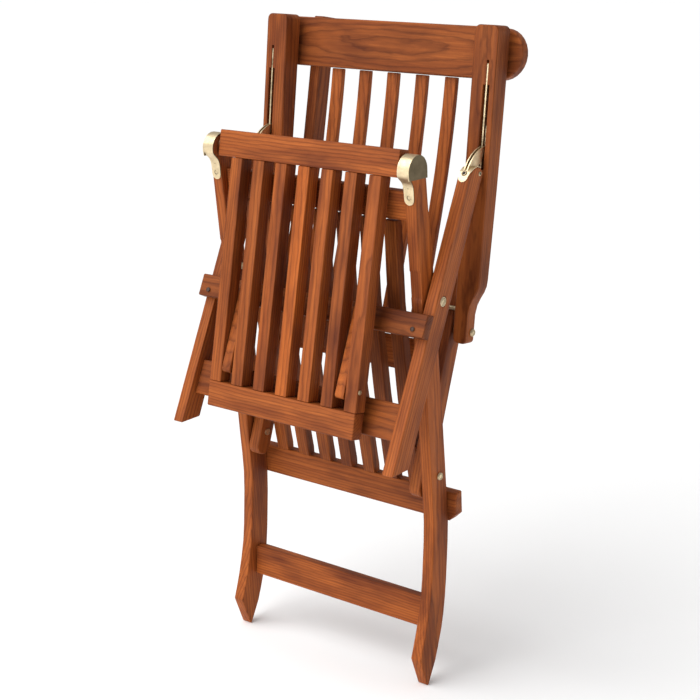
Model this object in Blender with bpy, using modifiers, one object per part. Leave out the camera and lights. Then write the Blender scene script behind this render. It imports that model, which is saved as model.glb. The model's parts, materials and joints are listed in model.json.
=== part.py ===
"""Folding deck chair: oiled teak boards, brass bolts, caps and slot tracks.

The chair is modelled folded flat and standing on the ends of its seat rails.
X runs across the chair, Y from its front to its back, Z upward.
Side outlines are lists of (y, z) points in the chair's own side view.
"""
import math

import bmesh
import bpy
from mathutils import Matrix, Vector

# ------------------------------------------------------------------ sizes (metres)
SIDE_VIEW_SHIFT = -0.0551        # moves the folded chair over the middle of its footprint
EDGE = 0.0020                    # softened edge of the larger boards
SLAT_EDGE = 0.0016               # softened edge of the slats
GAP = 0.0003                     # clearance between neighbours that touch
BORE_GAP = 0.0006                # extra radius of a hole over its bolt

# planes across the chair, measured from its middle
BACK_STILE_X = (0.2085, 0.2355)
SEAT_RAIL_X = (0.2385, 0.2645)
FRONT_LEG_X = (0.2685, 0.2950)
ARM_INNER_X = 0.2440
ARM_OUTER_X = 0.3000
ARM_NECK_X = 0.2770
TRACK_X = 0.2808

# joint axes, side view (y, z)
LEG_PIVOT = (-0.0100, 0.8635)
BACK_PIVOT = (0.0320, 0.4730)
ARM_PIVOT = (0.1260, 0.7668)
FOOTREST_HINGE = (-0.0645, 1.1415)
FOOTREST_LEG_PIVOT = (-0.1547, 0.6899)
TRACK_PIN = (0.1500, 1.1500)

# seat side rail, which runs on as a sabre-shaped rear leg
RAIL_HEAD = (-0.0634, 1.1300)
RAIL_HEAD_RADIUS = 0.0300
RAIL_NECK = [(-0.0893, 1.1188), (-0.0835, 1.1138), (-0.0778, 1.1083), (-0.0735, 1.1008), (-0.0708, 1.0900)]
RAIL_FRONT_EDGE = [
    (-0.0675, 1.0600), (-0.0568, 0.9730), (-0.0426, 0.8590), (-0.0124, 0.5910),
    (0.0012, 0.4680), (0.0120, 0.3700), (0.0105, 0.2800), (0.0053, 0.2024),
    (-0.0110, 0.1250), (-0.0285, 0.0684),
]
RAIL_REAR_EDGE = [
    (-0.0294, 1.1035), (-0.0210, 1.0440), (-0.0072, 0.9710), (0.0438, 0.5810),
    (0.0588, 0.4560), (0.0694, 0.3620), (0.0680, 0.2700), (0.0631, 0.1880),
    (0.0520, 0.1200), (0.0300, 0.0500),
]
RAIL_FOOT = [(0.0040, 0.0000), (0.0000, 0.0000)]
RAIL_REST = [                    # shallow rest for the upper stretcher when the chair is open
    (-0.0600, 0.8640), (-0.0432, 0.8640), (-0.0407, 0.8720), (-0.0466, 0.9230),
    (-0.0515, 0.9310), (-0.0700, 0.9310),
]

# seat
SEAT_SLAT_FRONT = [
    (-0.0430, 1.0205), (-0.0370, 0.9730), (-0.0256, 0.8450), (0.0003, 0.6980),
    (0.0124, 0.6280), (0.0300, 0.5520), (0.0495, 0.4640), (0.0583, 0.4290),
]
SEAT_SLAT_DEPTH = 0.0240
SEAT_SLAT_WIDTH = 0.0300
SEAT_SLAT_PITCH = 0.0610
SEAT_FRONT_RAIL = [(-0.0468, 1.0250), (-0.0536, 1.0850), (-0.0288, 1.0850), (-0.0220, 1.0250)]
SEAT_REAR_RAIL = [
    (0.0702, 0.3600), (0.0662, 0.3995), (0.0706, 0.4250), (0.0905, 0.4280), (0.0952, 0.3630),
]
SEAT_REAR_RAIL_HALF = 0.2835
FOOT_STRETCHER = [(0.0195, 0.1220), (0.0235, 0.1900), (0.0485, 0.1885), (0.0445, 0.1205)]

# front legs
LEG_LEAN = math.radians(24.4)
LEG_CENTRE = (-0.0060, 0.8635)
LEG_HALF_DEPTH = 0.0265
LEG_FOOT_Z = 0.5395
LEG_TOP = [
    (0.0699, 1.0950), (0.0742, 1.1035), (0.0818, 1.1112), (0.0920, 1.1170),
    (0.1050, 1.1195), (0.1180, 1.1160), (0.1275, 1.1050),
]
UPPER_STRETCHER = [(-0.0870, -0.0508), (-0.0395, -0.0508), (-0.0362, -0.0268), (-0.0870, -0.0268)]
LOWER_STRETCHER = (-0.2967, -0.2209, -0.0110, 0.0130)
UPPER_STRETCHER_HALF = 0.2980

# back
BACK_CENTRE_LINE = [
    (0.0320, 0.4730), (0.0633, 0.5660), (0.0905, 0.6500), (0.1185, 0.7330),
    (0.1555, 0.8500), (0.1845, 0.9500), (0.2110, 1.0500), (0.2265, 1.1180),
    (0.2535, 1.2790), (0.2615, 1.3300), (0.2700, 1.3850),
]
BACK_STILE_HALF = 0.0220
BACK_BOTTOM_RAIL = [(0.0770, 0.6720), (0.1000, 0.7385), (0.1228, 0.7305), (0.0998, 0.6640)]
BACK_SLAT_LINE = [
    (0.0948, 0.7410), (0.1295, 0.8500), (0.1585, 0.9500), (0.1850, 1.0500),
    (0.2005, 1.1180), (0.2180, 1.2150), (0.2269, 1.2789),
]
BACK_SLAT_DEPTH = 0.0140
BACK_SLAT_WIDTH = 0.0280
BACK_SLAT_PITCH = 0.0747
HEADREST_LEAN = math.radians(9.0)
HEADREST_HEIGHT = 0.1060
HEADREST_HALF = 0.3260
HEADREST_THICKNESS = 0.0230
HEADREST_CENTRE = (0.2273, 1.3334)

# arms: (distance along the arm from its pivot, thickness)
ARM_LEAN = math.radians(5.47)
ARM_FACE = 0.0221
ARM_START = -0.0235
ARM_END = 0.6306
ARM_THICKNESS = [
    (-0.0235, 0.0310), (0.0000, 0.0312), (0.0800, 0.0330), (0.2000, 0.0380),
    (0.3000, 0.0420), (0.4600, 0.0452), (0.6306, 0.0470),
]
SLOT_X = (0.2728, 0.2888)
SLOT_SPAN = (0.3400, 0.5120)
SLOT_DEPTH = 0.0340
KERF_WIDTH = 0.0042
KERF_HOLE = (0.5590, 0.0030)
TRACK_SPAN = (0.3440, 0.5540)
TRACK_THICKNESS = 0.0030
ARM_STOP = (0.0480, 0.0158)

# footrest, a slatted frame hung from the rail heads
FOOTREST_LEAN = math.radians(10.3)
FOOTREST_FRONT = -0.0167
FOOTREST_TOP_RAIL = (-0.0278, 0.0278, 0.0340)
FOOTREST_BOTTOM_RAIL = (0.5034, 0.5582, 0.0320)
FOOTREST_TOP_HALF = 0.2325
FOOTREST_BOTTOM_HALF = 0.1950
FOOTREST_BAR_WIDTH = 0.0300
FOOTREST_BAR_PITCH = 0.0600
FOOTREST_BAR_DEPTH = 0.0335
FOOTREST_LEG_X = (0.1405, 0.1625)
FOOTREST_LEG_LEAN = math.radians(21.3)
FOOTREST_LEG = (0.3100, 0.0200, 0.0085)     # above its pin, below it, half its depth

TEAK = (0.42, 0.16, 0.055)
BRASS = (0.72, 0.58, 0.33)


# ------------------------------------------------------------------ scene
def clear_scene():
    for old in list(bpy.data.objects):
        bpy.data.objects.remove(old, do_unlink=True)


clear_scene()
chair = bpy.data.collections.new("folding_deck_chair")
bpy.context.scene.collection.children.link(chair)
cutters = bpy.data.collections.new("cutters")
bpy.context.scene.collection.children.link(cutters)


def pivot_empty(name, point, parent=None):
    """An empty on a joint axis, which carries the pieces that turn about it."""
    empty = bpy.data.objects.new(name, None)
    empty.empty_display_size = 0.04
    chair.objects.link(empty)
    empty["pivot_y"] = point[0]
    empty["pivot_z"] = point[1]
    if parent is None:
        empty.location = (0.0, point[0] + SIDE_VIEW_SHIFT, point[1])
    else:
        empty.parent = parent
        step_y = point[0] - parent["pivot_y"]
        step_z = point[1] - parent["pivot_z"]
        empty.location = (0.0, step_y, step_z)
    return empty


seat_frame = pivot_empty("seat_frame", (0.0, 0.0))
front_legs = pivot_empty("front_legs_axis", LEG_PIVOT, seat_frame)
back_frame = pivot_empty("back_axis", BACK_PIVOT, seat_frame)
arm_axis = pivot_empty("arm_axis", ARM_PIVOT, back_frame)
footrest = pivot_empty("footrest_axis", FOOTREST_HINGE, seat_frame)
footrest_legs = pivot_empty("footrest_leg_axis", FOOTREST_LEG_PIVOT, footrest)


# ------------------------------------------------------------------ materials
def principled(name, colour, roughness, metallic):
    material = bpy.data.materials.new(name)
    material.use_nodes = True
    shader = material.node_tree.nodes["Principled BSDF"]
    shader.inputs["Base Color"].default_value = (*colour, 1.0)
    shader.inputs["Roughness"].default_value = roughness
    shader.inputs["Metallic"].default_value = metallic
    material.diffuse_color = (*colour, 1.0)
    return material


def teak(name):
    """Oiled teak, a little lighter or darker from board to board."""
    tone = 0.86 + 0.28 * ((sum(map(ord, name)) * 37 % 100) / 100.0)
    colour = tuple(channel * tone for channel in TEAK)
    return principled(name + "_teak", colour, 0.45, 0.0)


def brass(name):
    return principled(name + "_brass", BRASS, 0.28, 1.0)


# ------------------------------------------------------------------ outlines
def arc(centre, radius, start_degrees, end_degrees, steps):
    """Points along a circular arc, both ends included."""
    points = []
    for step in range(steps + 1):
        turn = math.radians(start_degrees + (end_degrees - start_degrees) * step / steps)
        y = centre[0] + radius * math.cos(turn)
        z = centre[1] + radius * math.sin(turn)
        points.append((y, z))
    return points


def smooth(points, steps=2):
    """A smooth line through the points (Catmull-Rom), both ends included."""
    ends = [points[0]] + list(points) + [points[-1]]
    line = []
    for index in range(1, len(ends) - 2):
        before, start, end, after = (Vector(ends[index + k]) for k in (-1, 0, 1, 2))
        for step in range(steps):
            t = step / steps
            bend = 2 * start + (end - before) * t
            bend += (2 * before - 5 * start + 4 * end - after) * t * t
            bend += (3 * start - before - 3 * end + after) * t * t * t
            line.append(tuple(bend * 0.5))
    line.append(tuple(points[-1]))
    return line


def offset(points, distance):
    """The line moved sideways: to the left of its direction for a positive distance."""
    moved = []
    for index, point in enumerate(points):
        before = Vector(points[max(index - 1, 0)])
        after = Vector(points[min(index + 1, len(points) - 1)])
        along = (after - before).normalized()
        moved.append((point[0] - along.y * distance, point[1] + along.x * distance))
    return moved


def band(points, inner, outer):
    """A strip between two lines moved sideways from the same line."""
    return offset(points, outer) + list(reversed(offset(points, inner)))


def leaning(origin, lean, forward, along, across):
    """A side-view point given along a leaning direction and across it, toward the back."""
    y = origin[0] + forward * (math.sin(lean) * along) + math.cos(lean) * across
    z = origin[1] + forward * (math.cos(lean) * along) - math.sin(lean) * across
    return (y, z)


def leg_point(along, across):
    return leaning(LEG_CENTRE, LEG_LEAN, 1.0, along, across)


def footrest_point(down, across):
    return leaning(FOOTREST_HINGE, FOOTREST_LEAN, -1.0, down, across)


def arm_point(along, toward_front):
    return leaning(ARM_PIVOT, ARM_LEAN, 1.0, along, -toward_front)


# ------------------------------------------------------------------ solids
def side_plane(x):
    """Outline x and y lie along the chair's Y and Z; thickness lies along X."""
    rows = ((0.0, 0.0, 1.0, x), (1.0, 0.0, 0.0, 0.0), (0.0, 1.0, 0.0, 0.0), (0.0, 0.0, 0.0, 1.0))
    return Matrix(rows)


def leaning_plane(point, lean):
    """Outline x lies along X and y up a leaning board; thickness lies toward the front."""
    turn = Matrix.Rotation(math.radians(90.0) - lean, 4, "X")
    return Matrix.Translation((0.0, point[0], point[1])) @ turn


def mount(obj, parent, matrix):
    """Hang an object, placed in the folded chair's frame, from its pivot empty."""
    obj.parent = parent
    back = Matrix.Translation((0.0, -parent["pivot_y"], -parent["pivot_z"]))
    obj.matrix_parent_inverse = back
    obj.matrix_basis = matrix


def outline_mesh(name, outline, thickness):
    """A closed mesh from a filled 2D curve with half the thickness on each side."""
    curve = bpy.data.curves.new(name, "CURVE")
    curve.dimensions = "2D"
    curve.fill_mode = "BOTH"
    curve.extrude = thickness / 2.0
    spline = curve.splines.new("POLY")
    spline.points.add(len(outline) - 1)
    for place, point in zip(spline.points, outline):
        place.co = (point[0], point[1], 0.0, 1.0)
    spline.use_cyclic_u = True
    holder = bpy.data.objects.new(name, curve)
    chair.objects.link(holder)
    graph = bpy.context.evaluated_depsgraph_get()
    mesh = bpy.data.meshes.new_from_object(holder.evaluated_get(graph))
    bpy.data.objects.remove(holder, do_unlink=True)
    bpy.data.curves.remove(curve)
    bm = bmesh.new()
    bm.from_mesh(mesh)
    bmesh.ops.remove_doubles(bm, verts=bm.verts, dist=0.00001)
    bmesh.ops.dissolve_limit(bm, angle_limit=0.001, verts=bm.verts, edges=bm.edges)
    bmesh.ops.recalc_face_normals(bm, faces=bm.faces)
    bm.to_mesh(mesh)
    bm.free()
    mesh.name = name
    return mesh


def soften(obj, width):
    bevel = obj.modifiers.new("softened edges", "BEVEL")
    bevel.width = width
    bevel.segments = 1
    bevel.limit_method = "ANGLE"
    bevel.angle_limit = math.radians(35.0)
    bevel.use_clamp_overlap = True


def solid(name, mesh, parent, matrix, material, edge):
    obj = bpy.data.objects.new(name, mesh)
    obj.data.materials.clear()
    obj.data.materials.append(material)
    chair.objects.link(obj)
    mount(obj, parent, matrix)
    if edge > 0.0:
        soften(obj, edge)
    return obj


def board(name, outline, x_span, parent, material, edge=EDGE):
    """A board sawn to a side outline, between two planes across the chair."""
    width = abs(x_span[1] - x_span[0])
    middle = (x_span[0] + x_span[1]) / 2.0
    mesh = outline_mesh(name, outline, width)
    return solid(name, mesh, parent, side_plane(middle), material, edge)


def cutter_board(name, outline, thickness, parent, matrix):
    """A hidden outline solid, used by a Boolean."""
    mesh = outline_mesh(name, outline, thickness)
    cutter = bpy.data.objects.new(name, mesh)
    cutters.objects.link(cutter)
    cutter.hide_render = True
    cutter.display_type = "WIRE"
    mount(cutter, parent, matrix)
    return cutter


def boolean(obj, cutter, operation):
    step = obj.modifiers.new(operation.lower() + " " + cutter.name, "BOOLEAN")
    step.object = cutter
    step.operation = operation
    step.solver = "EXACT"
    return step


def bore(obj, parent, pivot, radius, x_span):
    """A round hole across the chair."""
    name = obj.name + "_bore_" + str(len(obj.modifiers))
    mesh = bpy.data.meshes.new(name)
    bm = bmesh.new()
    depth = abs(x_span[1] - x_span[0])
    bmesh.ops.create_cone(
        bm, cap_ends=True, cap_tris=False, segments=20,
        radius1=radius, radius2=radius, depth=depth,
    )
    bm.to_mesh(mesh)
    bm.free()
    cutter = bpy.data.objects.new(name, mesh)
    cutters.objects.link(cutter)
    cutter.hide_render = True
    cutter.display_type = "WIRE"
    middle = (x_span[0] + x_span[1]) / 2.0
    place = Matrix.Translation((middle, pivot[0], pivot[1]))
    mount(cutter, parent, place @ Matrix.Rotation(math.radians(90.0), 4, "Y"))
    boolean(obj, cutter, "DIFFERENCE")


def turned(name, profile, pivot, side, parent, material, steps=16):
    """A turned pin or bolt along X: its profile is (distance from the middle, radius)."""
    mesh = bpy.data.meshes.new(name)
    vertices = [(radius, 0.0, x) for x, radius in profile]
    edges = [(index, index + 1) for index in range(len(profile) - 1)]
    mesh.from_pydata(vertices, edges, [])
    turn = Matrix.Rotation(math.radians(90.0 * side), 4, "Y")
    place = Matrix.Translation((0.0, pivot[0], pivot[1])) @ turn
    obj = solid(name, mesh, parent, place, material, 0.0)
    screw = obj.modifiers.new("turned", "SCREW")
    screw.axis = "Z"
    screw.steps = steps
    screw.render_steps = steps
    screw.use_merge_vertices = True
    screw.merge_threshold = 0.00005
    return obj


SIDES = (("left", -1.0), ("right", 1.0))


def on_side(span, side):
    """The span across the chair, mirrored for the left side."""
    return tuple(sorted((span[0] * side, span[1] * side)))


# ------------------------------------------------------------------ seat frame
def rail_head():
    """The rounded head from its back, over the top, and down the neck to the front edge."""
    head = arc(RAIL_HEAD, RAIL_HEAD_RADIUS, 5.0, 192.0, 12)
    neck = smooth([head[-1]] + RAIL_NECK + [RAIL_FRONT_EDGE[0]])
    return head + neck[1:-1]


def rail_outline():
    rear = smooth(RAIL_REAR_EDGE)
    front = smooth(RAIL_FRONT_EDGE)
    return rear + RAIL_FOOT + list(reversed(front)) + list(reversed(rail_head()))


def seat_rails():
    for word, side in SIDES:
        name = "seat_rail_" + word
        rail = board(name, rail_outline(), on_side(SEAT_RAIL_X, side), seat_frame, teak(name))
        middle = (SEAT_RAIL_X[0] + SEAT_RAIL_X[1]) / 2.0 * side
        rest = cutter_board(name + "_rest", RAIL_REST, 0.10, seat_frame, side_plane(middle))
        boolean(rail, rest, "DIFFERENCE")
        across = on_side((0.20, 0.30), side)
        bore(rail, seat_frame, LEG_PIVOT, 0.0040 + BORE_GAP, across)
        bore(rail, seat_frame, BACK_PIVOT, 0.0040 + BORE_GAP, across)
        bore(rail, seat_frame, FOOTREST_HINGE, 0.0045 + BORE_GAP, on_side((0.22, 0.2612), side))


def seat_cross_rails():
    inside = SEAT_RAIL_X[0] - GAP
    board("seat_front_rail", SEAT_FRONT_RAIL, (-inside, inside), seat_frame,
          teak("seat_front_rail"))
    board("foot_stretcher", FOOT_STRETCHER, (-inside, inside), seat_frame,
          teak("foot_stretcher"))


def seat_rear_rail():
    """Lapped on the back edges of the seat rails, with its lower corners cut off."""
    half = SEAT_REAR_RAIL_HALF
    rail = board("seat_rear_rail", SEAT_REAR_RAIL, (-half, half), seat_frame,
                 teak("seat_rear_rail"))
    for side in (-1.0, 1.0):
        corner = [(side * (half - 0.020), 0.3500), (side * (half + 0.010), 0.3500),
                  (side * (half + 0.010), 0.3855), (side * (half - 0.0001), 0.3785),
                  (side * (half - 0.0200), 0.3585)]
        name = "rear_rail_corner_left" if side < 0.0 else "rear_rail_corner_right"
        place = Matrix.Translation((0.0, 0.080, 0.0)) @ Matrix.Rotation(math.radians(90.0), 4, "X")
        cutter = cutter_board(name, corner, 0.10, seat_frame, place)
        boolean(rail, cutter, "DIFFERENCE")


def seat_slats():
    front = smooth(SEAT_SLAT_FRONT)
    outline = band(front, 0.0, SEAT_SLAT_DEPTH)
    last = outline[len(front) - 1]
    outline[len(front) - 1] = (last[0] - 0.0014, 0.4290)
    outline[0] = (outline[0][0], 1.0205)
    for number in range(7):
        name = "seat_slat_" + str(number + 1)
        middle = (number - 3) * SEAT_SLAT_PITCH
        span = (middle - SEAT_SLAT_WIDTH / 2.0, middle + SEAT_SLAT_WIDTH / 2.0)
        board(name, outline, span, seat_frame, teak(name), SLAT_EDGE)


def rail_caps():
    """Brass caps over the rail heads: a strip round the head, an outer plate, a strap."""
    line = rail_head() + [RAIL_FRONT_EDGE[0], (-0.0669, 1.0540)]
    strip = band(line, -0.0005, -0.0022)
    plate = arc(RAIL_HEAD, RAIL_HEAD_RADIUS + 0.0021, 190.0, 0.0, 12)
    plate += [(-0.0306, 1.1138), (-0.0928, 1.1138)]
    for word, side in SIDES:
        name = "footrest_hinge_cap_" + word
        across = (SEAT_RAIL_X[0], SEAT_RAIL_X[1] + 0.0020)
        cap = board(name, strip, on_side(across, side), seat_frame, brass(name), 0.0)
        middle = 0.2512 * side
        shape = [(middle - 0.0200, 1.2000), (middle + 0.0200, 1.2000)]
        shape += [(middle + 0.0200, 1.1172), (middle + 0.0122, 1.1128)]
        shape += arc((middle, 1.0735), 0.0115, 0.0, -180.0, 8)
        shape += [(middle - 0.0122, 1.1128), (middle - 0.0200, 1.1172)]
        place = Matrix.Translation((0.0, -0.06, 0.0)) @ Matrix.Rotation(math.radians(90.0), 4, "X")
        form = cutter_board(name + "_form", shape, 0.20, seat_frame, place)
        boolean(cap, form, "INTERSECT")
        spread = on_side((SEAT_RAIL_X[1] + GAP, SEAT_RAIL_X[1] + 0.0020), side)
        face = cutter_board(name + "_plate", plate, spread[1] - spread[0], seat_frame,
                            side_plane((spread[0] + spread[1]) / 2.0))
        boolean(cap, face, "UNION")


def hinge_pins():
    profile = [
        (0.2606, 0.0000), (0.2606, 0.0045), (0.2382, 0.0045), (0.2382, 0.0110),
        (0.2328, 0.0110), (0.2328, 0.0045), (0.2050, 0.0045), (0.2050, 0.0000),
    ]
    for word, side in SIDES:
        name = "footrest_hinge_pin_" + word
        turned(name, profile, FOOTREST_HINGE, side, seat_frame, brass(name))


def frame_bolts():
    leg_profile = [
        (0.2946, 0.0000), (0.2944, 0.0045), (0.2937, 0.0085), (0.2929, 0.0104),
        (0.2921, 0.0104), (0.2921, 0.0040), (0.2682, 0.0040), (0.2682, 0.0090),
        (0.2648, 0.0090), (0.2648, 0.0040), (0.2382, 0.0040), (0.2382, 0.0080),
        (0.2344, 0.0080), (0.2344, 0.0000),
    ]
    back_profile = [
        (0.2680, 0.0000), (0.2678, 0.0042), (0.2669, 0.0074), (0.2657, 0.0084),
        (0.2648, 0.0084), (0.2648, 0.0040), (0.2382, 0.0040), (0.2382, 0.0085),
        (0.2358, 0.0085), (0.2358, 0.0040), (0.2082, 0.0040), (0.2082, 0.0075),
        (0.2048, 0.0075), (0.2048, 0.0000),
    ]
    for word, side in SIDES:
        name = "leg_pivot_bolt_" + word
        turned(name, leg_profile, LEG_PIVOT, side, seat_frame, brass(name))
        name = "back_pivot_bolt_" + word
        turned(name, back_profile, BACK_PIVOT, side, seat_frame, brass(name))


# ------------------------------------------------------------------ front legs
def leg_at_height(across, z):
    """The side-view point at a height on a line parallel with the leg."""
    along = (z - LEG_CENTRE[1] + math.sin(LEG_LEAN) * across) / math.cos(LEG_LEAN)
    return leg_point(along, across)


def legs():
    outline = [leg_at_height(-LEG_HALF_DEPTH, LEG_FOOT_Z)] + LEG_TOP
    outline.append(leg_at_height(LEG_HALF_DEPTH, LEG_FOOT_Z))
    for word, side in SIDES:
        name = "front_leg_" + word
        leg = board(name, outline, on_side(FRONT_LEG_X, side), front_legs, teak(name))
        bore(leg, front_legs, LEG_PIVOT, 0.0040 + BORE_GAP, on_side((0.25, 0.32), side))
        bore(leg, front_legs, LEG_PIVOT, 0.0114, on_side((0.2918, 0.32), side))


def leg_stretchers():
    outline = [leg_point(along, across) for along, across in UPPER_STRETCHER]
    half = UPPER_STRETCHER_HALF
    board("upper_leg_stretcher", outline, (-half, half), front_legs, teak("upper_leg_stretcher"))
    low, high, front, back = LOWER_STRETCHER
    outline = [leg_point(low, front), leg_point(high, front), leg_point(high, back),
               leg_point(low, back)]
    half = FRONT_LEG_X[0] - GAP
    board("lower_leg_stretcher", outline, (-half, half), front_legs, teak("lower_leg_stretcher"))


def leg_shoes():
    """Brass over the leg tops: a strip with a front ear, and two horns for the track pin."""
    ear_foot = leg_at_height(-LEG_HALF_DEPTH, 1.0860)
    line = [ear_foot] + LEG_TOP[:6]
    strip = band(line, 0.0003, 0.0016)
    horn = offset(LEG_TOP[2:6], 0.0009)
    horn += [(0.1290, 1.1230), (0.1400, 1.1370)]
    horn += arc(TRACK_PIN, 0.0068, -50.0, 110.0, 8)
    horn += [(0.1370, 1.1545), (0.1235, 1.1500), (0.1100, 1.1430), (0.0975, 1.1330), (0.0885, 1.1230)]
    for word, side in SIDES:
        name = "leg_shoe_" + word
        shoe = board(name, strip, on_side(FRONT_LEG_X, side), front_legs, brass(name), 0.0)
        middle = side * (FRONT_LEG_X[0] + FRONT_LEG_X[1]) / 2.0
        shape = [(middle - 0.0200, 1.1600), (middle + 0.0200, 1.1600)]
        shape += [(middle + 0.0200, 1.1165), (middle + 0.0118, 1.1110)]
        shape += arc((middle, 1.1040), 0.0112, 0.0, -180.0, 8)
        shape += [(middle - 0.0118, 1.1110), (middle - 0.0200, 1.1165)]
        place = Matrix.Translation((0.0, 0.10, 0.0)) @ Matrix.Rotation(math.radians(90.0), 4, "X")
        form = cutter_board(name + "_form", shape, 0.20, front_legs, place)
        boolean(shoe, form, "INTERSECT")
        for step, reach in (("inner", -0.00375), ("outer", 0.00375)):
            x = side * (TRACK_X + reach)
            plate = cutter_board(name + "_horn_" + step, horn, 0.0025, front_legs, side_plane(x))
            boolean(shoe, plate, "UNION")


# ------------------------------------------------------------------ back
def back_stiles():
    centre = smooth(BACK_CENTRE_LINE)
    half = BACK_STILE_HALF
    start = Vector(centre[0])
    along = (Vector(centre[1]) - start).normalized()
    low = start - along * 0.0530
    heel = (low.x, low.y)
    angle = math.degrees(math.atan2(along.y, along.x))
    heel_end = arc((heel[0] + along.x * half, heel[1] + along.y * half), half,
                   angle - 90.0, angle - 270.0, 8)
    right = offset(centre, -half)
    left = offset(centre, half)
    outline = left + list(reversed(right)) + heel_end
    for word, side in SIDES:
        name = "back_stile_" + word
        stile = board(name, outline, on_side(BACK_STILE_X, side), back_frame, teak(name))
        across = on_side((0.19, 0.25), side)
        bore(stile, back_frame, BACK_PIVOT, 0.0040 + BORE_GAP, across)
        bore(stile, back_frame, ARM_PIVOT, 0.0040 + BORE_GAP, across)


def back_bottom_rail():
    inside = BACK_STILE_X[0] - GAP
    board("back_bottom_rail", BACK_BOTTOM_RAIL, (-inside, inside), back_frame,
          teak("back_bottom_rail"))


def back_slats():
    half = BACK_SLAT_DEPTH / 2.0
    outline = band(smooth(BACK_SLAT_LINE), -half, half)
    for number in range(5):
        name = "back_slat_" + str(number + 1)
        middle = (number - 2) * BACK_SLAT_PITCH
        span = (middle - BACK_SLAT_WIDTH / 2.0, middle + BACK_SLAT_WIDTH / 2.0)
        board(name, outline, span, back_frame, teak(name), SLAT_EDGE)


def headrest():
    """A board with half-round ends, lapped on the front of the stiles."""
    radius = HEADREST_HEIGHT / 2.0
    reach = HEADREST_HALF - radius
    outline = arc((reach, 0.0), radius, -90.0, 90.0, 14)
    outline += arc((-reach, 0.0), radius, 90.0, 270.0, 14)
    mesh = outline_mesh("headrest_board", outline, HEADREST_THICKNESS)
    place = leaning_plane(HEADREST_CENTRE, HEADREST_LEAN)
    solid("headrest_board", mesh, back_frame, place, teak("headrest_board"), EDGE)


# ------------------------------------------------------------------ arms
def arm_plane():
    return leaning_plane(ARM_PIVOT, ARM_LEAN)


def arm_side_outline():
    rear = [arm_point(along, ARM_FACE - thick) for along, thick in smooth(ARM_THICKNESS)]
    return [arm_point(ARM_START, ARM_FACE), arm_point(ARM_END, ARM_FACE)] + list(reversed(rear))


def arm_front_outline(side):
    """The arm's outline from the front: narrow at the pivot, then wider, round corners."""
    corner = 0.0120
    inner = ARM_INNER_X
    outer = ARM_OUTER_X
    neck = ARM_NECK_X
    outline = arc((inner + corner, ARM_START + corner), corner, 270.0, 180.0, 4)
    outline += arc((inner + corner, ARM_END - corner), corner, 180.0, 90.0, 4)
    outline += arc((outer - corner, ARM_END - corner), corner, 90.0, 0.0, 4)
    rise = [(outer, 0.1150), (outer - 0.0012, 0.1000), (outer - 0.0055, 0.0870)]
    rise += [(neck + 0.0105, 0.0740), (neck + 0.0035, 0.0580), (neck, 0.0380)]
    outline += rise
    outline += arc((neck - 0.0090, ARM_START + 0.0090), 0.0090, 360.0, 270.0, 4)
    return [(x * side, along) for x, along in outline]


def slot_outline():
    """The slot, the saw kerf that runs on from it, and the round hole at the kerf's end."""
    low, high = SLOT_SPAN
    middle, radius = KERF_HOLE
    half = KERF_WIDTH / 2.0
    meet = math.degrees(math.asin(half / radius))
    outline = [(SLOT_X[0], low), (SLOT_X[1], low), (SLOT_X[1], high), (TRACK_X + half, high)]
    outline += arc((TRACK_X, middle), radius, -90.0 + meet, 270.0 - meet, 12)
    outline += [(TRACK_X - half, high), (SLOT_X[0], high)]
    return outline


def arms():
    for word, side in SIDES:
        name = "arm_" + word
        across = on_side((ARM_INNER_X - 0.0100, ARM_OUTER_X + 0.0100), side)
        arm = board(name, arm_side_outline(), across, arm_axis, teak(name), 0.0)
        form = cutter_board(name + "_form", arm_front_outline(side), 0.20, arm_axis, arm_plane())
        boolean(arm, form, "INTERSECT")
        soften(arm, EDGE)
        place = arm_plane() @ Matrix.Translation((0.0, 0.0, ARM_FACE - SLOT_DEPTH + 0.05))
        keyhole = [(x * side, along) for x, along in slot_outline()]
        boolean(arm, cutter_board(name + "_slot", keyhole, 0.10, arm_axis, place), "DIFFERENCE")
        bore(arm, arm_axis, ARM_PIVOT, 0.0040 + BORE_GAP, on_side((0.23, 0.30), side))
        bore(arm, arm_axis, arm_point(*ARM_STOP), 0.0045 + BORE_GAP,
             on_side((0.2300, 0.2560), side))


def arm_tracks():
    """A brass strip on edge in each arm's slot, with a guide slot for the leg's pin."""
    face = ARM_FACE - 0.0010
    floor = ARM_FACE - SLOT_DEPTH + 0.0006
    low, high = TRACK_SPAN
    outline = [arm_point(low, face), arm_point(high, face), arm_point(high, floor),
               arm_point(low, floor)]
    for word, side in SIDES:
        name = "arm_track_" + word
        half = TRACK_THICKNESS / 2.0
        across = on_side((TRACK_X - half, TRACK_X + half), side)
        track = board(name, outline, across, arm_axis, brass(name), 0.0)
        guide = [arm_point(0.3760, 0.0091), arm_point(0.4300, 0.0091)]
        guide += [arm_point(0.4300, 0.0161), arm_point(0.3760, 0.0161)]
        cutter = cutter_board(name + "_guide", guide, 0.02, arm_axis, side_plane(TRACK_X * side))
        boolean(track, cutter, "DIFFERENCE")


def arm_pins():
    bolt = [
        (0.2806, 0.0000), (0.2804, 0.0042), (0.2796, 0.0072), (0.2785, 0.0082),
        (0.2773, 0.0082), (0.2773, 0.0040), (0.2437, 0.0040), (0.2437, 0.0090),
        (0.2358, 0.0090), (0.2358, 0.0040), (0.2082, 0.0040), (0.2082, 0.0075),
        (0.2048, 0.0075), (0.2048, 0.0000),
    ]
    stop = [
        (0.2550, 0.0000), (0.2550, 0.0045), (0.2178, 0.0045), (0.2172, 0.0038),
        (0.2172, 0.0000),
    ]
    for word, side in SIDES:
        name = "arm_pivot_bolt_" + word
        turned(name, bolt, ARM_PIVOT, side, back_frame, brass(name))
        name = "arm_stop_pin_" + word
        turned(name, stop, arm_point(*ARM_STOP), side, arm_axis, brass(name))


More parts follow.
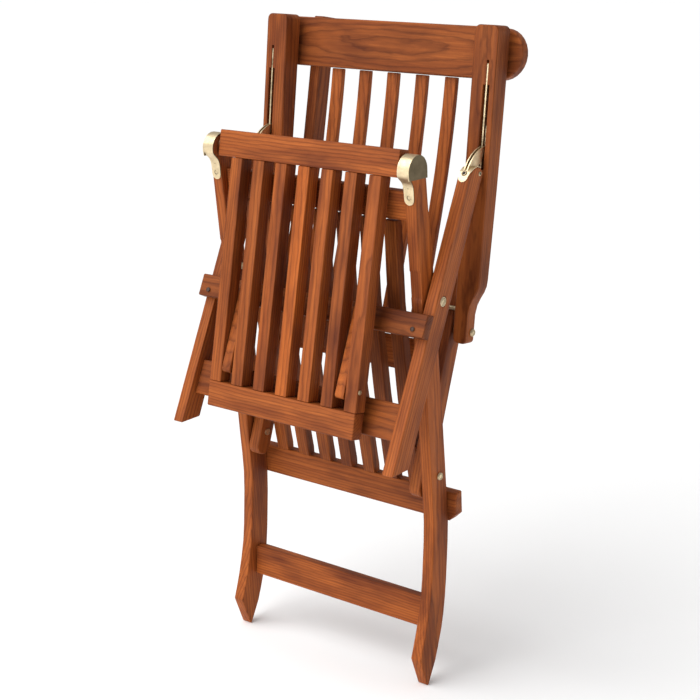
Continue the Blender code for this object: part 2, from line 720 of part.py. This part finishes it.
# ------------------------------------------------------------------ footrest
def footrest_bar(low, high, front, back):
    return [footrest_point(low, front), footrest_point(high, front),
            footrest_point(high, back), footrest_point(low, back)]


def footrest_rails():
    top, bottom, depth = FOOTREST_TOP_RAIL
    front = FOOTREST_FRONT
    half = FOOTREST_TOP_HALF
    outline = footrest_bar(top, bottom, front, front + depth)
    rail = board("footrest_top_rail", outline, (-half, half), footrest,
                 teak("footrest_top_rail"))
    for side in (-1.0, 1.0):
        bore(rail, footrest, FOOTREST_HINGE, 0.0045 + BORE_GAP, on_side((0.2040, 0.26), side))
    top, bottom, depth = FOOTREST_BOTTOM_RAIL
    half = FOOTREST_BOTTOM_HALF
    outline = footrest_bar(top, bottom, front, front + depth)
    board("footrest_bottom_rail", outline, (-half, half), footrest, teak("footrest_bottom_rail"))


def footrest_bars():
    """Two stiles and the slats between them, all alike, between the two rails."""
    high = FOOTREST_TOP_RAIL[1] + GAP
    low = FOOTREST_BOTTOM_RAIL[0] - GAP
    front = FOOTREST_FRONT + 0.0004
    outline = footrest_bar(high, low, front, front + FOOTREST_BAR_DEPTH)
    names = ["footrest_stile_left"]
    names += ["footrest_slat_" + str(number) for number in range(1, 6)]
    names += ["footrest_stile_right"]
    for number, name in enumerate(names):
        middle = (number - 3) * FOOTREST_BAR_PITCH
        span = (middle - FOOTREST_BAR_WIDTH / 2.0, middle + FOOTREST_BAR_WIDTH / 2.0)
        bar = board(name, outline, span, footrest, teak(name), SLAT_EDGE)
        if number in (0, 6):
            side = -1.0 if number == 0 else 1.0
            bore(bar, footrest, FOOTREST_LEG_PIVOT, 0.0030 + BORE_GAP, on_side((0.14, 0.22), side))


def footrest_leg_pins():
    profile = [
        (0.1971, 0.0000), (0.1969, 0.0030), (0.1960, 0.0050), (0.1953, 0.0052),
        (0.1953, 0.0030), (0.1440, 0.0030), (0.1440, 0.0000),
    ]
    for word, side in SIDES:
        name = "footrest_leg_pin_" + word
        turned(name, profile, FOOTREST_LEG_PIVOT, side, footrest, brass(name))


def footrest_leg_pair():
    """Two folding legs, which lean back between the seat slats above their pins."""
    above, below, half = FOOTREST_LEG
    outline = [(above, half), (above, -half)]
    for turn in range(0, 181, 30):
        angle = math.radians(turn)
        outline.append((half - below - half * math.sin(angle), -half * math.cos(angle)))
    outline = [leaning(FOOTREST_LEG_PIVOT, FOOTREST_LEG_LEAN, 1.0, *point) for point in outline]
    for word, side in SIDES:
        name = "footrest_leg_" + word
        leg = board(name, outline, on_side(FOOTREST_LEG_X, side), footrest_legs, teak(name),
                    SLAT_EDGE)
        bore(leg, footrest_legs, FOOTREST_LEG_PIVOT, 0.0030 + BORE_GAP,
             on_side((0.1435, 0.18), side))


# ------------------------------------------------------------------ build
def build():
    seat_rails()
    seat_cross_rails()
    seat_rear_rail()
    seat_slats()
    rail_caps()
    hinge_pins()
    frame_bolts()
    legs()
    leg_stretchers()
    leg_shoes()
    back_stiles()
    back_bottom_rail()
    back_slats()
    headrest()
    arms()
    arm_tracks()
    arm_pins()
    footrest_rails()
    footrest_bars()
    footrest_leg_pins()
    footrest_leg_pair()


build()
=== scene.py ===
import json
import math

import bmesh
import bpy
from mathutils import Matrix, Vector


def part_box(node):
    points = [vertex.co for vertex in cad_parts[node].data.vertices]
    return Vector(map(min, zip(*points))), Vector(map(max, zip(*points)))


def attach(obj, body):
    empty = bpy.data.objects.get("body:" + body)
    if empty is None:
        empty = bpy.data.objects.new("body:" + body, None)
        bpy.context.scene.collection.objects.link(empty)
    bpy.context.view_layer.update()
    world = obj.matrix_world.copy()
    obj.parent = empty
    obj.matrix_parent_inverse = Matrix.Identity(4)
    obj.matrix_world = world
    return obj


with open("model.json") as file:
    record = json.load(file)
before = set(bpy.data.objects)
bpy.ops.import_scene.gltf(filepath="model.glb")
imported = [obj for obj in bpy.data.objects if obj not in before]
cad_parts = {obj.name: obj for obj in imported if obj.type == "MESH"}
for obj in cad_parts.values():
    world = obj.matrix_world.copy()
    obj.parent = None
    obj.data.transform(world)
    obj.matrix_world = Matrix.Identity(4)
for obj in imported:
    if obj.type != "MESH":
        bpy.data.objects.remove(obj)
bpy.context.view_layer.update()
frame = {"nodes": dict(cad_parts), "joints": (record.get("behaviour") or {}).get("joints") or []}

NODES = frame["nodes"]
PIVOTS = {joint["name"]: joint["pos_m"] for joint in frame["joints"]}
SIDES = (("left", -1.0), ("right", 1.0))

# angles, in degrees from the vertical, of the boards' grain in the side view
LEG_LEAN = 24.4
ARM_LEAN = 5.47
FOOTREST_LEAN = 9.5


# ---------------------------------------------------------------- node helpers
class Tree:
    """A short way to write a material's node tree."""

    def __init__(self, material):
        material.use_nodes = True
        self.tree = material.node_tree
        self.shader = self.tree.nodes["Principled BSDF"]

    def link(self, value, socket):
        if hasattr(value, "is_output"):
            self.tree.links.new(value, socket)
        else:
            socket.default_value = value

    def math(self, operation, a, b=0.0, clamp=False):
        node = self.tree.nodes.new("ShaderNodeMath")
        node.operation = operation
        node.use_clamp = clamp
        self.link(a, node.inputs[0])
        self.link(b, node.inputs[1])
        return node.outputs[0]

    def vector(self, operation, a, b=(0.0, 0.0, 0.0)):
        node = self.tree.nodes.new("ShaderNodeVectorMath")
        node.operation = operation
        self.link(a, node.inputs[0])
        self.link(b, node.inputs[1])
        return node.outputs["Value"] if operation in ("LENGTH", "DOT_PRODUCT") else node.outputs[0]

    def noise(self, vector, scale, detail=3.0, rough=0.55, color=False):
        node = self.tree.nodes.new("ShaderNodeTexNoise")
        self.link(vector, node.inputs["Vector"])
        node.inputs["Scale"].default_value = scale
        node.inputs["Detail"].default_value = detail
        node.inputs["Roughness"].default_value = rough
        return node.outputs["Color"] if color else node.outputs[0]

    def ramp(self, value, stops):
        node = self.tree.nodes.new("ShaderNodeValToRGB")
        self.link(value, node.inputs[0])
        ramp = node.color_ramp
        while len(ramp.elements) < len(stops):
            ramp.elements.new(0.5)
        for element, (place, color) in zip(ramp.elements, stops):
            element.position = place
            element.color = (*color, 1.0)
        return node.outputs[0]

    def mix(self, factor, a, b, kind="MIX"):
        node = self.tree.nodes.new("ShaderNodeMix")
        node.data_type = "RGBA"
        node.blend_type = kind
        self.link(factor, node.inputs[0])
        self.link(a if hasattr(a, "is_output") else (*a, 1.0), node.inputs[6])
        self.link(b if hasattr(b, "is_output") else (*b, 1.0), node.inputs[7])
        return node.outputs[2]

    def range(self, value, low, high, to_low, to_high):
        node = self.tree.nodes.new("ShaderNodeMapRange")
        self.link(value, node.inputs[0])
        for index, number in enumerate((low, high, to_low, to_high)):
            node.inputs[index + 1].default_value = number
        return node.outputs[0]

    def bump(self, height, strength, distance):
        node = self.tree.nodes.new("ShaderNodeBump")
        node.inputs["Strength"].default_value = strength
        node.inputs["Distance"].default_value = distance
        self.link(height, node.inputs["Height"])
        return node.outputs[0]


def number(name, salt=0):
    """A steady pseudo-random number from 0 to 1 for each name."""
    total = 17 + salt * 7919
    for letter in name:
        total = (total * 131 + ord(letter)) % 1000003
    return (total % 9973) / 9973.0


# ---------------------------------------------------------------- materials
def teak(name, grain, tone=1.0, warm=0.0, loop=0.05, rings=170.0, pith=None):
    """Oiled teak: growth rings about a pith, fibres, pores and stains, along the grain's line.

    tone scales the colour and warm reddens it; loop is how fast the rings close along the board,
    rings how many there are in a metre, and pith its angle and distance from the board's centre.
    """
    material = bpy.data.materials.new(name + "_teak")
    t = Tree(material)
    place = t.tree.nodes.new("ShaderNodeTexCoord")
    turn = Vector(grain).normalized().rotation_difference(Vector((0.0, 0.0, 1.0)))
    mapping = t.tree.nodes.new("ShaderNodeMapping")
    mapping.inputs["Rotation"].default_value = turn.to_euler("XYZ")
    mapping.inputs["Location"].default_value = (
        number(name, 1) * 3.0, number(name, 2) * 3.0, number(name, 3) * 3.0)
    t.link(place.outputs["Object"], mapping.inputs["Vector"])
    point = mapping.outputs[0]

    low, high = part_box(name)
    centre = (Vector(low) + Vector(high)) / 2.0
    centre = turn @ centre + Vector(mapping.inputs["Location"].default_value)
    angle, reach = pith or (number(name, 4) * math.tau, 0.035 + 0.12 * number(name, 5))
    axis = (centre.x + reach * math.cos(angle), centre.y + reach * math.sin(angle), centre.z)

    slow = t.vector("MULTIPLY", point, (1.0, 1.0, 0.22))
    sway = t.noise(slow, 9.0, 2.0, color=True)
    sway = t.vector("SUBTRACT", sway, (0.5, 0.5, 0.5))
    sway = t.vector("MULTIPLY", sway, (0.011, 0.011, 0.0))
    bent = t.vector("ADD", point, sway)
    ring = t.vector("MULTIPLY", t.vector("SUBTRACT", bent, axis), (1.0, 1.0, loop))
    radius = t.vector("LENGTH", ring)
    wander = t.noise(slow, 60.0, 2.0)
    turns = t.math("ADD", t.math("MULTIPLY", radius, rings), t.math("MULTIPLY", wander, 1.1))
    year = t.math("FRACT", turns)
    late = t.ramp(year, [(0.0, (0.15, 0.15, 0.15)), (0.10, (0.75, 0.75, 0.75)),
                         (0.62, (1.0, 1.0, 1.0)), (0.93, (0.42, 0.42, 0.42)),
                         (1.0, (0.15, 0.15, 0.15))])

    stretched = t.vector("MULTIPLY", bent, (1.0, 1.0, 0.022))
    fibre = t.noise(stretched, 620.0, 4.0, 0.6)
    streak = t.noise(t.vector("MULTIPLY", bent, (1.0, 1.0, 0.028)), 80.0, 3.0, 0.6)
    cloud = t.noise(slow, 16.0, 3.0, 0.6)
    pore = t.noise(t.vector("MULTIPLY", bent, (1.0, 1.0, 0.045)), 1500.0, 2.0)
    pore = t.range(pore, 0.60, 0.72, 0.0, 1.0)

    light = (0.520 * tone * (1 + 0.06 * warm), 0.142 * tone, 0.031 * tone * (1 - 0.3 * warm))
    middle = (0.310 * tone * (1 + 0.04 * warm), 0.073 * tone, 0.0160 * tone * (1 - 0.3 * warm))
    dark = (0.072 * tone, 0.0140 * tone, 0.0048 * tone)
    body = t.mix(t.range(streak, 0.30, 0.70, 0.0, 1.0), middle, light)
    stain = (dark[0] * 1.5, dark[1] * 1.5, dark[2] * 1.7)
    body = t.mix(t.range(cloud, 0.46, 0.70, 0.0, 0.80), body, stain)
    veil = t.math("MULTIPLY", t.math("SUBTRACT", 1.0, late), 0.66, clamp=True)
    body = t.mix(veil, body, dark)
    shade = t.range(fibre, 0.28, 0.72, 0.74, 1.0)
    grey = t.ramp(shade, [(0.0, (0.0, 0.0, 0.0)), (1.0, (1.0, 1.0, 1.0))])
    body = t.mix(1.0, body, grey, "MULTIPLY")
    hollow = (dark[0] * 0.6, dark[1] * 0.6, dark[2] * 0.6)
    body = t.mix(t.math("MULTIPLY", pore, 0.35), body, hollow)
    t.link(body, t.shader.inputs["Base Color"])

    gloss = t.math("ADD", t.range(fibre, 0.2, 0.8, 0.36, 0.52), t.math("MULTIPLY", cloud, 0.10))
    t.link(gloss, t.shader.inputs["Roughness"])
    t.shader.inputs["Specular IOR Level"].default_value = 0.14
    raised = t.math("ADD", t.math("MULTIPLY", fibre, 0.6), t.math("MULTIPLY", late, 0.3))
    height = t.math("SUBTRACT", raised, t.math("MULTIPLY", pore, 0.8))
    t.link(t.bump(height, 0.22, 0.0006), t.shader.inputs["Normal"])
    return material


def brass(name, dull, painted_side_shade=0.0):
    """Brass with tarnish in clouds and fine rubbing marks; the third argument paints a dark reflection
    on its outer sides as painted shade.
    """
    material = bpy.data.materials.new(name + "_brass")
    t = Tree(material)
    place = t.tree.nodes.new("ShaderNodeTexCoord").outputs["Object"]
    point = t.vector("ADD", place, (number(name) * 2.0, number(name, 1) * 2.0, 0.0))
    cloud = t.noise(point, 55.0, 4.0, 0.6)
    speck = t.noise(point, 420.0, 3.0, 0.6)
    rub = t.noise(t.vector("MULTIPLY", point, (1.0, 1.0, 0.12)), 1400.0, 2.0)
    tarnish_and_side_shade = t.range(cloud, 0.42, 0.72, 0.0, dull)
    # outer faces turned along X are darkened: a painted dark reflection of the surroundings, not
    # tarnish
    if painted_side_shade > 0.0:
        face = t.tree.nodes.new("ShaderNodeTexCoord").outputs["Normal"]
        side = t.math("ABSOLUTE", t.vector("DOT_PRODUCT", face, (1.0, 0.0, 0.0)))
        side = t.range(side, 0.80, 0.97, 0.0, painted_side_shade)
        side = t.math("MULTIPLY", side, t.range(cloud, 0.2, 0.8, 0.85, 1.0))
        # from here the dark mix holds real tarnish and the painted side shade together
        tarnish_and_side_shade = t.math("MAXIMUM", tarnish_and_side_shade, side)
    body = t.mix(tarnish_and_side_shade, (0.78, 0.63, 0.40), (0.075, 0.058, 0.030))
    body = t.mix(t.range(speck, 0.55, 0.80, 0.0, 0.30), body, (0.40, 0.29, 0.15))
    t.link(body, t.shader.inputs["Base Color"])
    t.shader.inputs["Metallic"].default_value = 1.0
    rough = t.math("ADD", t.range(speck, 0.3, 0.7, 0.34, 0.46), t.math("MULTIPLY", tarnish_and_side_shade, 0.22))
    t.link(rough, t.shader.inputs["Roughness"])
    height = t.math("ADD", rub, t.math("MULTIPLY", speck, 0.6))
    t.link(t.bump(height, 0.10, 0.0003), t.shader.inputs["Normal"])
    return material


def plain(name, color, rough):
    """One colour with a faint cloud in it."""
    material = bpy.data.materials.new(name)
    t = Tree(material)
    place = t.tree.nodes.new("ShaderNodeTexCoord").outputs["Object"]
    cloud = t.noise(place, 300.0, 3.0)
    t.link(t.mix(cloud, tuple(c * 0.8 for c in color), color), t.shader.inputs["Base Color"])
    t.shader.inputs["Roughness"].default_value = rough
    return material


# ---------------------------------------------------------------- the CAD nodes' looks
def lean(degrees):
    """The line at an angle from the vertical in the side view."""
    turn = math.radians(degrees)
    return (0.0, math.sin(turn), math.cos(turn))


ACROSS = (1.0, 0.0, 0.0)
GRAINS = {
    "seat_rail": lean(-5.0), "seat_slat": lean(-8.5), "front_leg": lean(LEG_LEAN),
    "back_stile": lean(15.0), "back_slat": lean(14.0), "arm_": lean(ARM_LEAN),
    "footrest_stile": lean(FOOTREST_LEAN), "footrest_slat": lean(FOOTREST_LEAN),
    "footrest_leg_": lean(FOOTREST_LEAN),
}                                # the other boards run across the chair
BRASS_WORDS = ("cap", "pin", "bolt", "shoe", "track")
TONES = {                        # board: (tone, warmth), where they are not drawn by name
    "footrest_slat_1": (0.84, 0.0), "footrest_slat_2": (1.02, 0.2), "footrest_slat_3": (1.20, 0.6),
    "footrest_slat_4": (0.98, 0.2), "footrest_slat_5": (0.86, 0.0), "footrest_stile_left": (0.92, 0.1),
    "footrest_stile_right": (0.95, 0.0), "footrest_top_rail": (0.98, 0.0),
    "footrest_bottom_rail": (0.92, 0.0), "headrest_board": (0.82, 0.0), "arm_left": (0.92, 0.0),
    # upper_leg_stretcher's low tone darkens the whole board as painted shade
    "arm_right": (0.80, 0.0), "upper_leg_stretcher": (0.70, 0.0), "seat_rail_right": (1.05, 0.4),
    "seat_rail_left": (1.0, 0.2),
}


SHARP_ANGLE = 50.0
WELD_DISTANCE = 0.00002


def smooth_group():
    """Smooth faces with sharp edges over the sharp angle, as a modifier's node group."""
    group = bpy.data.node_groups.new("smooth_by_angle", "GeometryNodeTree")
    group.interface.new_socket("Geometry", in_out="INPUT", socket_type="NodeSocketGeometry")
    group.interface.new_socket("Geometry", in_out="OUTPUT", socket_type="NodeSocketGeometry")
    start = group.nodes.new("NodeGroupInput")
    end = group.nodes.new("NodeGroupOutput")
    faces = group.nodes.new("GeometryNodeSetShadeSmooth")
    edges = group.nodes.new("GeometryNodeSetShadeSmooth")
    edges.domain = "EDGE"
    edges.inputs["Shade Smooth"].default_value = False
    angle = group.nodes.new("GeometryNodeInputMeshEdgeAngle")
    over = group.nodes.new("FunctionNodeCompare")
    over.data_type = "FLOAT"
    over.operation = "GREATER_THAN"
    over.inputs[1].default_value = math.radians(SHARP_ANGLE)
    group.links.new(angle.outputs["Unsigned Angle"], over.inputs[0])
    group.links.new(over.outputs[0], edges.inputs["Selection"])
    group.links.new(start.outputs[0], faces.inputs["Geometry"])
    group.links.new(faces.outputs[0], edges.inputs["Geometry"])
    group.links.new(edges.outputs[0], end.inputs[0])
    return group


def node_material(name):
    """Brass for a fitting, and for a board teak along its own grain."""
    if any(word in name for word in BRASS_WORDS):
        bright = "cap" in name or "shoe" in name
        # the caps' 0.92 paints their outer sides dark as a painted reflection
        return brass(name, 0.30 if bright else 0.85, 0.92 if "cap" in name else 0.0)
    grain = next((line for word, line in GRAINS.items() if name.startswith(word)), ACROSS)
    tone, warm = TONES.get(name, (0.78 + 0.32 * number(name, 8), number(name, 9) * 0.5))
    if name == "headrest_board":
        return teak(name, grain, tone, warm, 0.13, 105.0, (math.pi / 2.0, 0.016))
    return teak(name, grain, tone, warm)


def dress_nodes():
    """Softens each CAD piece's shading and gives it its own material."""
    group = smooth_group()
    for name, obj in NODES.items():
        weld = obj.modifiers.new("weld", "WELD")
        weld.merge_threshold = WELD_DISTANCE
        shade = obj.modifiers.new("smooth", "NODES")
        shade.node_group = group
        weight = obj.modifiers.new("weighted", "WEIGHTED_NORMAL")
        weight.keep_sharp = True
        obj.data.materials.clear()
        obj.data.materials.append(node_material(name))


dress_nodes()


# ---------------------------------------------------------------- small fittings
# near-black material that paints the shade in the fittings' hollows, slots, grooves and rims
PAINTED_SHADE_DARK = plain("painted_shade_dark", (0.020, 0.014, 0.010), 0.6)
SCREW = brass("screw", 0.75)
# the plug's near-black colour is painted shade, standing in for the dark of the sunk hole
PLUG_HOLE_SHADE = plain("plug_painted_hole_shade", (0.06, 0.022, 0.010), 0.55)


def turned(name, profile, steps=32):
    """A turned piece about Z from (radius, height, dark) points; dark gives the face before it the
    second material, the near-black painted shade.
    """
    bm = bmesh.new()
    rings = []
    for radius, height, _ in profile:
        if radius < 1e-6:
            rings.append([bm.verts.new((0.0, 0.0, height))])
            continue
        ring = [bm.verts.new((radius * math.cos(math.tau * k / steps),
                              radius * math.sin(math.tau * k / steps), height))
                for k in range(steps)]
        rings.append(ring)
    for (low, high), (_, _, dark) in zip(zip(rings, rings[1:]), profile[1:]):
        for k in range(steps):
            n = (k + 1) % steps
            if len(high) == 1:
                face = bm.faces.new((low[k], low[n], high[0]))
            elif len(low) == 1:
                face = bm.faces.new((low[0], high[n], high[k]))
            else:
                face = bm.faces.new((low[k], low[n], high[n], high[k]))
            # faces flagged dark take the painted-shade material
            face.material_index = 1 if dark else 0
            face.smooth = True
    bmesh.ops.recalc_face_normals(bm, faces=bm.faces)
    mesh = bpy.data.meshes.new(name)
    bm.to_mesh(mesh)
    bm.free()
    obj = bpy.data.objects.new(name, mesh)
    bpy.context.scene.collection.objects.link(obj)
    return obj


def fix(obj, point, normal, body, materials):
    """Puts a turned piece at a point, along a normal, and makes it ride on a body."""
    for material in materials:
        obj.data.materials.append(material)
    turn = Vector((0.0, 0.0, 1.0)).rotation_difference(Vector(normal)).to_matrix().to_4x4()
    obj.matrix_world = Matrix.Translation(Vector(point)) @ turn
    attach(obj, body)


def eyelet(size):
    """A pressed ring round a hollow centre painted dark as its shade, with a dark rim painted as
    contact shade and tarnish, closed at the back.
    """
    return [(0.0, -0.0010, False), (size, -0.0010, False), (size, 0.0001, False),
            (size * 0.88, 0.0001, True), (size * 0.86, 0.0006, False), (size * 0.72, 0.0009, False),
            (size * 0.62, 0.0007, False), (size * 0.50, 0.0002, True), (size * 0.38, -0.0004, True),
            (0.0, -0.0006, True)]


def bolt_rim(size):
    """The raised rim and hollow centre of a pivot bolt's head, with its groove and hollow centre
    painted dark as shade.
    """
    return [(0.0, -0.0006, False), (size, -0.0006, False), (size, 0.0004, False),
            (size * 0.94, 0.0010, False), (size * 0.82, 0.0012, False), (size * 0.74, 0.0005, False),
            (size * 0.66, 0.0003, True), (size * 0.62, 0.0005, False), (size * 0.36, 0.0006, False),
            (size * 0.32, 0.0001, True), (0.0, -0.0002, True)]


def stud(size):
    """A domed stud with a dark ring painted as shade at its rim and a dark centre painted as the shade
    of a driven slot.
    """
    return [(0.0, -0.0008, False), (size, -0.0008, False), (size, 0.0001, False),
            (size * 0.90, 0.0001, True), (size * 0.86, 0.0007, False), (size * 0.60, 0.0012, False),
            (size * 0.42, 0.0012, False), (size * 0.38, 0.0005, True), (0.0, 0.0004, True)]


def plug(size):
    """A plug over a sunk screw, painted near-black as the shade of the sunk hole, with its rim painted
    dark as shade too, closed at the back.
    """
    return [(0.0, -0.0010, False), (size, -0.0010, False), (size, 0.0001, True),
            (size * 0.84, 0.0001, True), (size * 0.80, 0.0004, False), (0.0, 0.0005, False)]


RAIL_MIDDLE_X = 0.2512           # middle of a hinge cap's strap
LEG_MIDDLE_X = 0.28175
LEG_OUTER_X = 0.2950
PLUG_X = 0.2714
STRAP_NORMAL = (0.0, -0.9954, -0.0960)
SHOE_NORMAL = (0.0, -0.7112, 0.7030)
LEG_NORMAL = (0.0, -math.cos(math.radians(LEG_LEAN)), math.sin(math.radians(LEG_LEAN)))


def pivot_rims(word, side):
    """The rims on the outer heads of the three pivot bolts."""
    outward = (side, 0.0, 0.0)
    for label, joint, x, size, body in (
            ("leg", "front_legs_fold", 0.2942, 0.0102, "seat_frame"),
            ("back", "back_fold", 0.2672, 0.0080, "seat_frame"),
            ("arm", word + "_arm_fold", 0.2799, 0.0076, "back")):
        _, y, z = PIVOTS[joint]
        rim = turned(label + "_bolt_rim_" + word, bolt_rim(size))
        fix(rim, (x * side, y, z), outward, body, [SCREW, PAINTED_SHADE_DARK])


def fittings():
    """The eyelets, screws, rivets, plugs and bolt rims on each side."""
    for word, side in SIDES:
        ring = [SCREW, PAINTED_SHADE_DARK]
        strap_x = RAIL_MIDDLE_X * side
        fix(turned("strap_eyelet_" + word, eyelet(0.0064)), (strap_x, -0.1264, 1.0772),
            STRAP_NORMAL, "seat_frame", ring)
        fix(turned("strap_screw_" + word, stud(0.0034)), (strap_x - 0.0010, -0.1285, 1.0975),
            STRAP_NORMAL, "seat_frame", ring)
        fix(turned("shoe_eyelet_" + word, eyelet(0.0060)), (LEG_MIDDLE_X * side, 0.0214, 1.1097),
            SHOE_NORMAL, "front_legs", ring)
        fix(turned("shoe_rivet_" + word, stud(0.0052)), (LEG_OUTER_X * side, 0.0599, 1.1045),
            (side, 0.0, 0.0), "front_legs", ring)
        fix(turned("stretcher_plug_" + word, plug(0.0048)), (PLUG_X * side, -0.1402, 0.8194),
            LEG_NORMAL, "front_legs", [PLUG_HOLE_SHADE, PAINTED_SHADE_DARK])
        pivot_rims(word, side)


fittings()


# ---------------------------------------------------------------- floor, light, camera
CAMERA_PITCH = 15.71             # degrees below the horizon
CAMERA_YAW = 37.27               # degrees from the chair's front towards its right
CAMERA_PLACE = (1.9727, -2.5844, 1.6299)
CHAIR_MIDDLE = (0.0, 0.0, 0.8)
FLOOR_SIZE = 60.0


def floor():
    """A wide pale floor just below the feet."""
    mesh = bpy.data.meshes.new("floor")
    bm = bmesh.new()
    bmesh.ops.create_grid(bm, x_segments=1, y_segments=1, size=FLOOR_SIZE)
    bm.to_mesh(mesh)
    bm.free()
    obj = bpy.data.objects.new("floor", mesh)
    bpy.context.scene.collection.objects.link(obj)
    obj.location = (0.0, 0.0, -0.0005)
    material = bpy.data.materials.new("floor")
    t = Tree(material)
    t.shader.inputs["Base Color"].default_value = (0.97, 0.97, 0.97, 1.0)
    t.shader.inputs["Roughness"].default_value = 0.9
    mesh.materials.append(material)


def area(name, place, size, power):
    """A soft rectangular light aimed at the chair."""
    light = bpy.data.lights.new(name, "AREA")
    light.shape = "RECTANGLE"
    light.size = size[0]
    light.size_y = size[1]
    light.energy = power
    obj = bpy.data.objects.new(name, light)
    obj.location = place
    obj.rotation_euler = (Vector(CHAIR_MIDDLE) - Vector(place)).to_track_quat("-Z", "Y").to_euler()
    bpy.context.scene.collection.objects.link(obj)


def lights():
    """An even pale studio, a broad key from the front left and two weak fills."""
    world = bpy.data.worlds.new("studio")
    world.use_nodes = True
    world.node_tree.nodes["Background"].inputs[0].default_value = (1.0, 1.0, 1.0, 1.0)
    world.node_tree.nodes["Background"].inputs[1].default_value = 0.46
    bpy.context.scene.world = world
    sun = bpy.data.lights.new("key", "SUN")
    sun.energy = 2.4
    sun.angle = math.radians(60.0)
    key = bpy.data.objects.new("key", sun)
    key.rotation_euler = Vector((0.42, 0.62, -1.0)).to_track_quat("-Z", "Y").to_euler()
    bpy.context.scene.collection.objects.link(key)
    area("fill", (3.2, -1.6, 1.8), (1.4, 1.8), 5.0)
    area("front", (-0.6, -3.6, 1.5), (1.6, 1.6), 40.0)


def camera():
    """The camera in front of the chair's right side, looking slightly down."""
    data = bpy.data.cameras.new("camera")
    data.lens = 80.2
    data.sensor_width = 36.0
    data.shift_x = 0.0027
    data.shift_y = -0.0116
    data.clip_end = 200.0
    obj = bpy.data.objects.new("camera", data)
    obj.location = CAMERA_PLACE
    obj.rotation_euler = (math.radians(90.0 - CAMERA_PITCH), 0.0, math.radians(CAMERA_YAW))
    bpy.context.scene.collection.objects.link(obj)
    bpy.context.scene.camera = obj


floor()
lights()
camera()
bpy.context.scene.view_settings.view_transform = "Standard"
